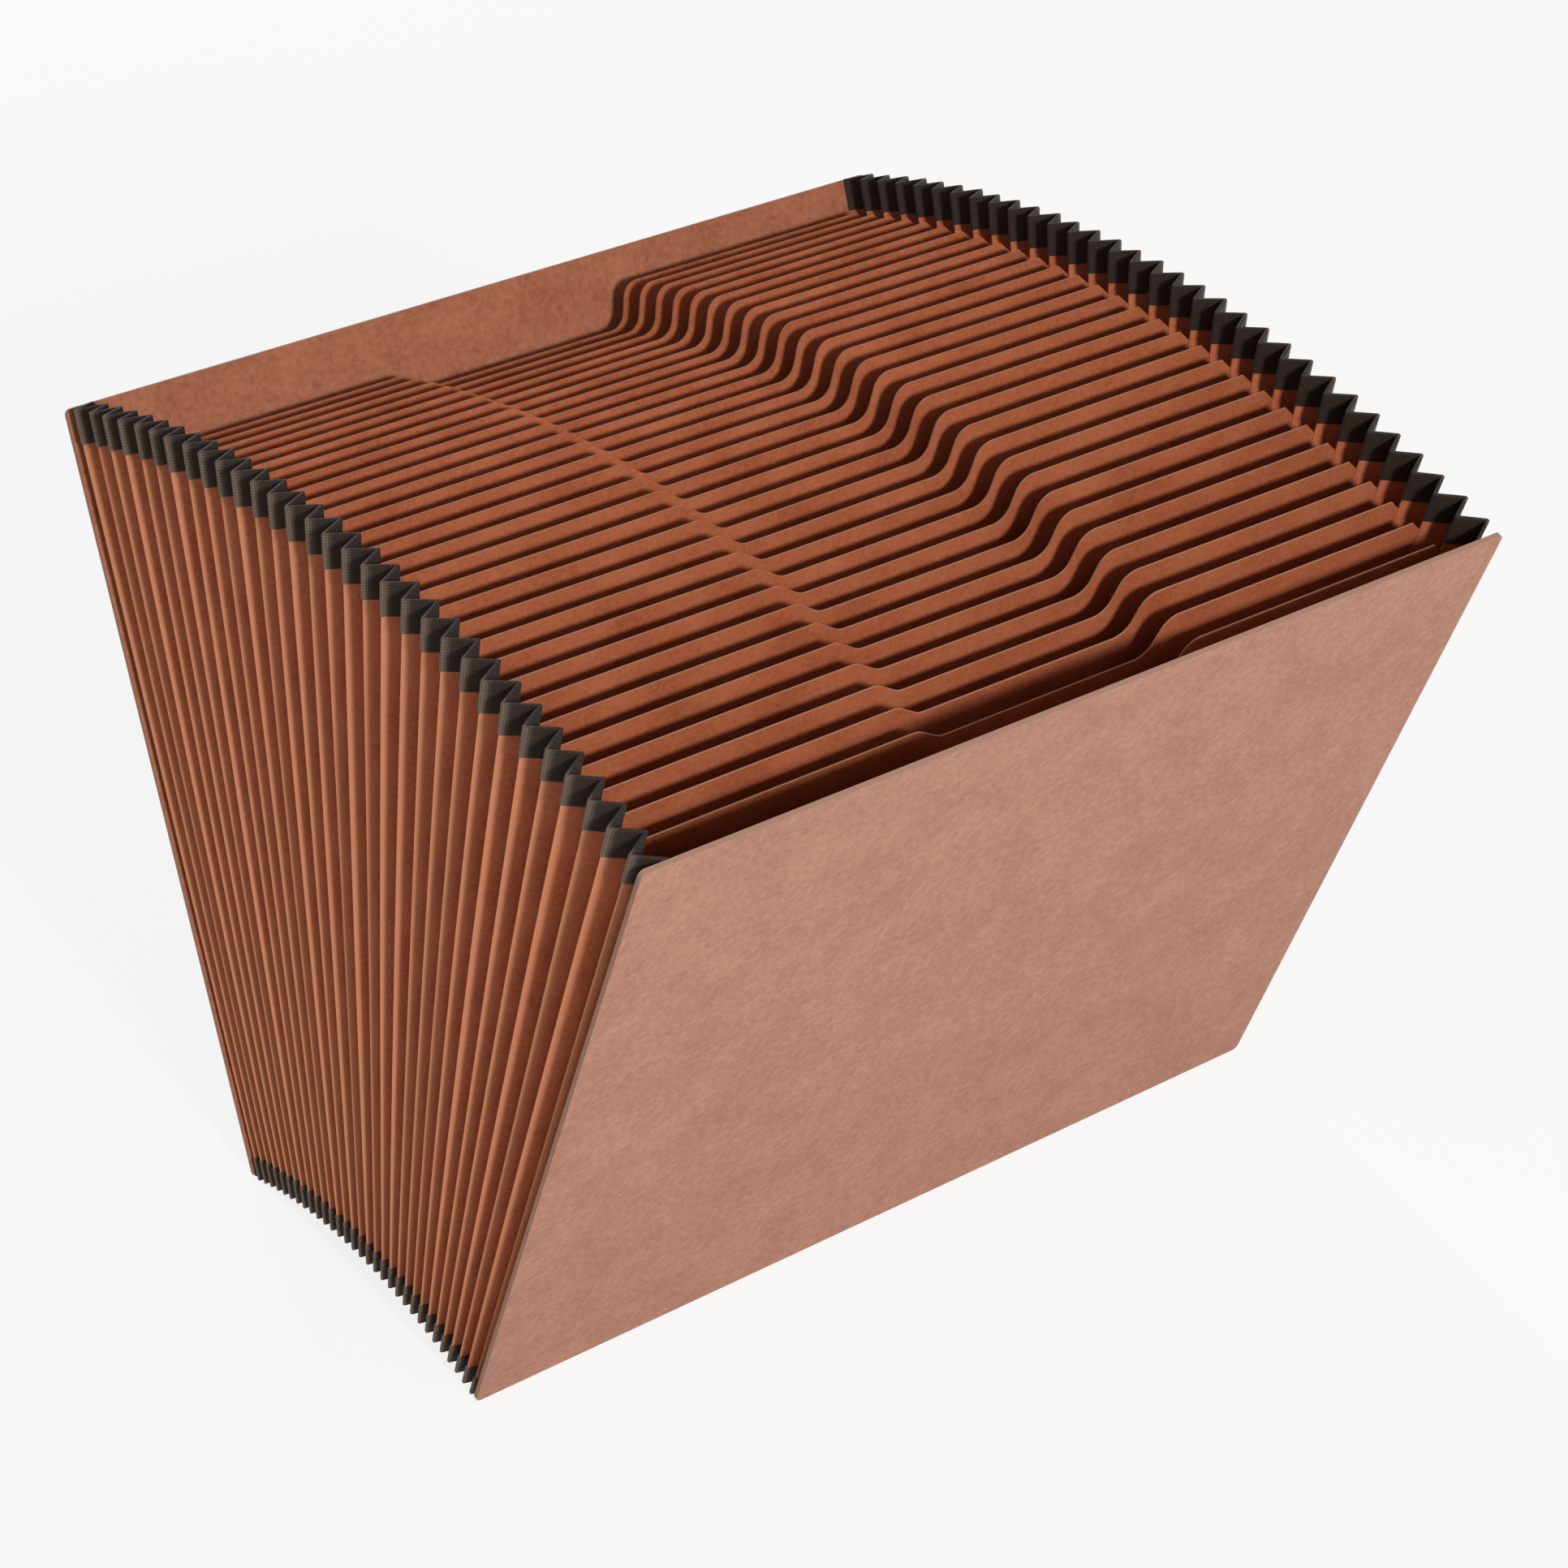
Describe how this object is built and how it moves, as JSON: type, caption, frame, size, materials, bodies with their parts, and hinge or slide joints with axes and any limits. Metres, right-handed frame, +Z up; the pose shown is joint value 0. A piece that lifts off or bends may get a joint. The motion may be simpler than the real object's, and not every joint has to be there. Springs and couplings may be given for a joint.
{
  "type": "accordion file folder",
  "caption": "Open-top expanding file spread like a fan: stiff boards, stepped dividers, pleated side gussets bound with black cloth tape.",
  "frame": {"origin": "centre of the bounding box at the level of the table that the boards' bottom edges stand on", "axes": "+Z up, +X to the right across the boards as seen from the front, -Y towards the front board"},
  "size_m": [0.3048, 0.305, 0.2662],
  "materials": {
    "fibre_board": "matte, mottled",
    "divider_paper": "matte",
    "gusset_paper": "matte",
    "tape_cloth": "woven, slightly shiny on the folds"
  },
  "bodies": {
    "middle": {"divider_15": "divider_paper", "left_gusset": "gusset_paper", "right_gusset": "gusset_paper", "pocket_bottoms": "gusset_paper", "left_top_tape": "tape_cloth", "right_top_tape": "tape_cloth", "left_bottom_tape": "tape_cloth", "right_bottom_tape": "tape_cloth"},
    "back_board": {"back_board": "fibre_board"},
    "divider_01": {"divider_01": "divider_paper"},
    "divider_02": {"divider_02": "divider_paper"},
    "divider_03": {"divider_03": "divider_paper"},
    "divider_04": {"divider_04": "divider_paper"},
    "divider_05": {"divider_05": "divider_paper"},
    "divider_06": {"divider_06": "divider_paper"},
    "divider_07": {"divider_07": "divider_paper"},
    "divider_08": {"divider_08": "divider_paper"},
    "divider_09": {"divider_09": "divider_paper"},
    "divider_10": {"divider_10": "divider_paper"},
    "divider_11": {"divider_11": "divider_paper"},
    "divider_12": {"divider_12": "divider_paper"},
    "divider_13": {"divider_13": "divider_paper"},
    "divider_14": {"divider_14": "divider_paper"},
    "divider_16": {"divider_16": "divider_paper"},
    "divider_17": {"divider_17": "divider_paper"},
    "divider_18": {"divider_18": "divider_paper"},
    "divider_19": {"divider_19": "divider_paper"},
    "divider_20": {"divider_20": "divider_paper"},
    "divider_21": {"divider_21": "divider_paper"},
    "divider_22": {"divider_22": "divider_paper"},
    "divider_23": {"divider_23": "divider_paper"},
    "divider_24": {"divider_24": "divider_paper"},
    "divider_25": {"divider_25": "divider_paper"},
    "divider_26": {"divider_26": "divider_paper"},
    "divider_27": {"divider_27": "divider_paper"},
    "divider_28": {"divider_28": "divider_paper"},
    "divider_29": {"divider_29": "divider_paper"},
    "divider_30": {"divider_30": "divider_paper"},
    "front_board": {"front_board": "fibre_board"}
  },
  "joints": [
    {"name": "pocket_01_fold", "type": "hinge", "parent": "divider_01", "child": "back_board", "pos_m": [0, 0.01913, -0.12107], "axis": [-1, 0, 0], "range_deg": [-1.29, 0.41]},
    {"name": "pocket_02_fold", "type": "hinge", "parent": "divider_02", "child": "divider_01", "pos_m": [0, 0.0179, -0.12066], "axis": [-1, 0, 0], "range_deg": [-1.29, 0.41]},
    {"name": "pocket_03_fold", "type": "hinge", "parent": "divider_03", "child": "divider_02", "pos_m": [0, 0.01666, -0.12027], "axis": [-1, 0, 0], "range_deg": [-1.29, 0.41]},
    {"name": "pocket_04_fold", "type": "hinge", "parent": "divider_04", "child": "divider_03", "pos_m": [0, 0.01541, -0.11991], "axis": [-1, 0, 0], "range_deg": [-1.29, 0.41]},
    {"name": "pocket_05_fold", "type": "hinge", "parent": "divider_05", "child": "divider_04", "pos_m": [0, 0.01415, -0.11957], "axis": [-1, 0, 0], "range_deg": [-1.29, 0.41]},
    {"name": "pocket_06_fold", "type": "hinge", "parent": "divider_06", "child": "divider_05", "pos_m": [0, 0.01289, -0.11927], "axis": [-1, 0, 0], "range_deg": [-1.29, 0.41]},
    {"name": "pocket_07_fold", "type": "hinge", "parent": "divider_07", "child": "divider_06", "pos_m": [0, 0.01162, -0.11899], "axis": [-1, 0, 0], "range_deg": [-1.29, 0.41]},
    {"name": "pocket_08_fold", "type": "hinge", "parent": "divider_08", "child": "divider_07", "pos_m": [0, 0.01034, -0.11875], "axis": [-1, 0, 0], "range_deg": [-1.29, 0.41]},
    {"name": "pocket_09_fold", "type": "hinge", "parent": "divider_09", "child": "divider_08", "pos_m": [0, 0.00906, -0.11853], "axis": [-1, 0, 0], "range_deg": [-1.29, 0.41]},
    {"name": "pocket_10_fold", "type": "hinge", "parent": "divider_10", "child": "divider_09", "pos_m": [0, 0.00778, -0.11834], "axis": [-1, 0, 0], "range_deg": [-1.29, 0.41]},
    {"name": "pocket_11_fold", "type": "hinge", "parent": "divider_11", "child": "divider_10", "pos_m": [0, 0.00649, -0.11818], "axis": [-1, 0, 0], "range_deg": [-1.29, 0.41]},
    {"name": "pocket_12_fold", "type": "hinge", "parent": "divider_12", "child": "divider_11", "pos_m": [0, 0.00519, -0.11804], "axis": [-1, 0, 0], "range_deg": [-1.29, 0.41]},
    {"name": "pocket_13_fold", "type": "hinge", "parent": "divider_13", "child": "divider_12", "pos_m": [0, 0.0039, -0.11794], "axis": [-1, 0, 0], "range_deg": [-1.29, 0.41]},
    {"name": "pocket_14_fold", "type": "hinge", "parent": "divider_14", "child": "divider_13", "pos_m": [0, 0.0026, -0.11787], "axis": [-1, 0, 0], "range_deg": [-1.29, 0.41]},
    {"name": "pocket_15_fold", "type": "hinge", "parent": "middle", "child": "divider_14", "pos_m": [0, 0.0013, -0.11783], "axis": [-1, 0, 0], "range_deg": [-1.29, 0.41]},
    {"name": "pocket_16_fold", "type": "hinge", "parent": "middle", "child": "divider_16", "pos_m": [0, 0, -0.11781], "axis": [1, 0, 0], "range_deg": [-1.29, 0.41], "deforming": ["left_gusset", "right_gusset", "pocket_bottoms", "left_top_tape", "right_top_tape", "left_bottom_tape", "right_bottom_tape"]},
    {"name": "pocket_17_fold", "type": "hinge", "parent": "divider_16", "child": "divider_17", "pos_m": [0, -0.0013, -0.11783], "axis": [1, 0, 0], "range_deg": [-1.29, 0.41]},
    {"name": "pocket_18_fold", "type": "hinge", "parent": "divider_17", "child": "divider_18", "pos_m": [0, -0.0026, -0.11787], "axis": [1, 0, 0], "range_deg": [-1.29, 0.41]},
    {"name": "pocket_19_fold", "type": "hinge", "parent": "divider_18", "child": "divider_19", "pos_m": [0, -0.0039, -0.11794], "axis": [1, 0, 0], "range_deg": [-1.29, 0.41]},
    {"name": "pocket_20_fold", "type": "hinge", "parent": "divider_19", "child": "divider_20", "pos_m": [0, -0.00519, -0.11804], "axis": [1, 0, 0], "range_deg": [-1.29, 0.41]},
    {"name": "pocket_21_fold", "type": "hinge", "parent": "divider_20", "child": "divider_21", "pos_m": [0, -0.00649, -0.11818], "axis": [1, 0, 0], "range_deg": [-1.29, 0.41]},
    {"name": "pocket_22_fold", "type": "hinge", "parent": "divider_21", "child": "divider_22", "pos_m": [0, -0.00778, -0.11834], "axis": [1, 0, 0], "range_deg": [-1.29, 0.41]},
    {"name": "pocket_23_fold", "type": "hinge", "parent": "divider_22", "child": "divider_23", "pos_m": [0, -0.00906, -0.11853], "axis": [1, 0, 0], "range_deg": [-1.29, 0.41]},
    {"name": "pocket_24_fold", "type": "hinge", "parent": "divider_23", "child": "divider_24", "pos_m": [0, -0.01034, -0.11875], "axis": [1, 0, 0], "range_deg": [-1.29, 0.41]},
    {"name": "pocket_25_fold", "type": "hinge", "parent": "divider_24", "child": "divider_25", "pos_m": [0, -0.01162, -0.11899], "axis": [1, 0, 0], "range_deg": [-1.29, 0.41]},
    {"name": "pocket_26_fold", "type": "hinge", "parent": "divider_25", "child": "divider_26", "pos_m": [0, -0.01289, -0.11927], "axis": [1, 0, 0], "range_deg": [-1.29, 0.41]},
    {"name": "pocket_27_fold", "type": "hinge", "parent": "divider_26", "child": "divider_27", "pos_m": [0, -0.01415, -0.11957], "axis": [1, 0, 0], "range_deg": [-1.29, 0.41]},
    {"name": "pocket_28_fold", "type": "hinge", "parent": "divider_27", "child": "divider_28", "pos_m": [0, -0.01541, -0.11991], "axis": [1, 0, 0], "range_deg": [-1.29, 0.41]},
    {"name": "pocket_29_fold", "type": "hinge", "parent": "divider_28", "child": "divider_29", "pos_m": [0, -0.01666, -0.12027], "axis": [1, 0, 0], "range_deg": [-1.29, 0.41]},
    {"name": "pocket_30_fold", "type": "hinge", "parent": "divider_29", "child": "divider_30", "pos_m": [0, -0.0179, -0.12066], "axis": [1, 0, 0], "range_deg": [-1.29, 0.41]},
    {"name": "pocket_31_fold", "type": "hinge", "parent": "divider_30", "child": "front_board", "pos_m": [0, -0.01913, -0.12107], "axis": [1, 0, 0], "range_deg": [-1.29, 0.41]}
  ],
  "couplings": [
    {"joint": "pocket_01_fold", "follows": "pocket_16_fold", "ratio": 1},
    {"joint": "pocket_02_fold", "follows": "pocket_16_fold", "ratio": 1},
    {"joint": "pocket_03_fold", "follows": "pocket_16_fold", "ratio": 1},
    {"joint": "pocket_04_fold", "follows": "pocket_16_fold", "ratio": 1},
    {"joint": "pocket_05_fold", "follows": "pocket_16_fold", "ratio": 1},
    {"joint": "pocket_06_fold", "follows": "pocket_16_fold", "ratio": 1},
    {"joint": "pocket_07_fold", "follows": "pocket_16_fold", "ratio": 1},
    {"joint": "pocket_08_fold", "follows": "pocket_16_fold", "ratio": 1},
    {"joint": "pocket_09_fold", "follows": "pocket_16_fold", "ratio": 1},
    {"joint": "pocket_10_fold", "follows": "pocket_16_fold", "ratio": 1},
    {"joint": "pocket_11_fold", "follows": "pocket_16_fold", "ratio": 1},
    {"joint": "pocket_12_fold", "follows": "pocket_16_fold", "ratio": 1},
    {"joint": "pocket_13_fold", "follows": "pocket_16_fold", "ratio": 1},
    {"joint": "pocket_14_fold", "follows": "pocket_16_fold", "ratio": 1},
    {"joint": "pocket_15_fold", "follows": "pocket_16_fold", "ratio": 1},
    {"joint": "pocket_17_fold", "follows": "pocket_16_fold", "ratio": 1},
    {"joint": "pocket_18_fold", "follows": "pocket_16_fold", "ratio": 1},
    {"joint": "pocket_19_fold", "follows": "pocket_16_fold", "ratio": 1},
    {"joint": "pocket_20_fold", "follows": "pocket_16_fold", "ratio": 1},
    {"joint": "pocket_21_fold", "follows": "pocket_16_fold", "ratio": 1},
    {"joint": "pocket_22_fold", "follows": "pocket_16_fold", "ratio": 1},
    {"joint": "pocket_23_fold", "follows": "pocket_16_fold", "ratio": 1},
    {"joint": "pocket_24_fold", "follows": "pocket_16_fold", "ratio": 1},
    {"joint": "pocket_25_fold", "follows": "pocket_16_fold", "ratio": 1},
    {"joint": "pocket_26_fold", "follows": "pocket_16_fold", "ratio": 1},
    {"joint": "pocket_27_fold", "follows": "pocket_16_fold", "ratio": 1},
    {"joint": "pocket_28_fold", "follows": "pocket_16_fold", "ratio": 1},
    {"joint": "pocket_29_fold", "follows": "pocket_16_fold", "ratio": 1},
    {"joint": "pocket_30_fold", "follows": "pocket_16_fold", "ratio": 1},
    {"joint": "pocket_31_fold", "follows": "pocket_16_fold", "ratio": 1}
  ]
}
